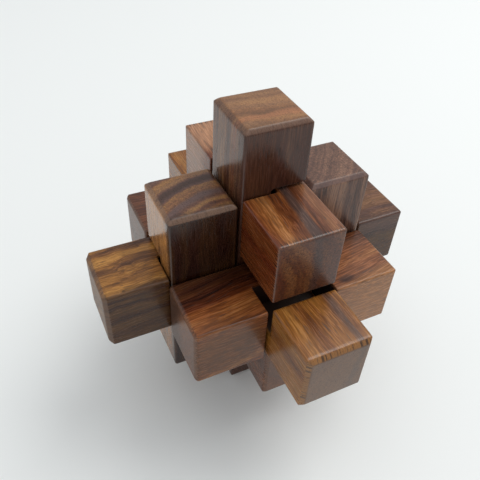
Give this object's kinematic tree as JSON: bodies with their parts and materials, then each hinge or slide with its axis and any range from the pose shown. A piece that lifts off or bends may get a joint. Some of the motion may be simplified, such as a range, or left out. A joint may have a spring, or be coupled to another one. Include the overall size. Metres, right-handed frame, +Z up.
{
  "type": "burr puzzle",
  "caption": "Interlocking wooden burr puzzle of square notched hardwood rods crossing in three directions, standing on one rod end.",
  "frame": {"origin": "middle of the lower end face of the long upright rod, on which the puzzle stands", "axes": "+Z up along the upright rods, +X right along the crosswise rods, +Y to the rear along the lengthwise rods; the locking key lies in front, at -Y"},
  "size_m": [0.0806, 0.0816, 0.082],
  "materials": {
    "upright_long_wood": "oiled, satin",
    "upright_left_wood": "oiled, satin",
    "upright_right_wood": "oiled, satin",
    "lengthwise_long_wood": "oiled, satin",
    "lengthwise_upper_wood": "oiled, satin",
    "lengthwise_lower_wood": "oiled, satin",
    "crosswise_long_wood": "oiled, satin",
    "crosswise_rear_wood": "oiled, satin",
    "locking_key_wood": "oiled, satin"
  },
  "bodies": {
    "locked_rods": {"upright_long_rod": "upright_long_wood", "upright_left_rod": "upright_left_wood", "upright_right_rod": "upright_right_wood", "lengthwise_long_rod": "lengthwise_long_wood", "lengthwise_upper_rod": "lengthwise_upper_wood", "lengthwise_lower_rod": "lengthwise_lower_wood", "crosswise_long_rod": "crosswise_long_wood", "crosswise_rear_rod": "crosswise_rear_wood"},
    "key": {"locking_key_rod": "locking_key_wood"}
  },
  "joints": [
    {"name": "key_slide", "type": "slide", "parent": "locked_rods", "child": "key", "axis": [0, -1, 0], "range_m": [0, 0.0085]}
  ]
}
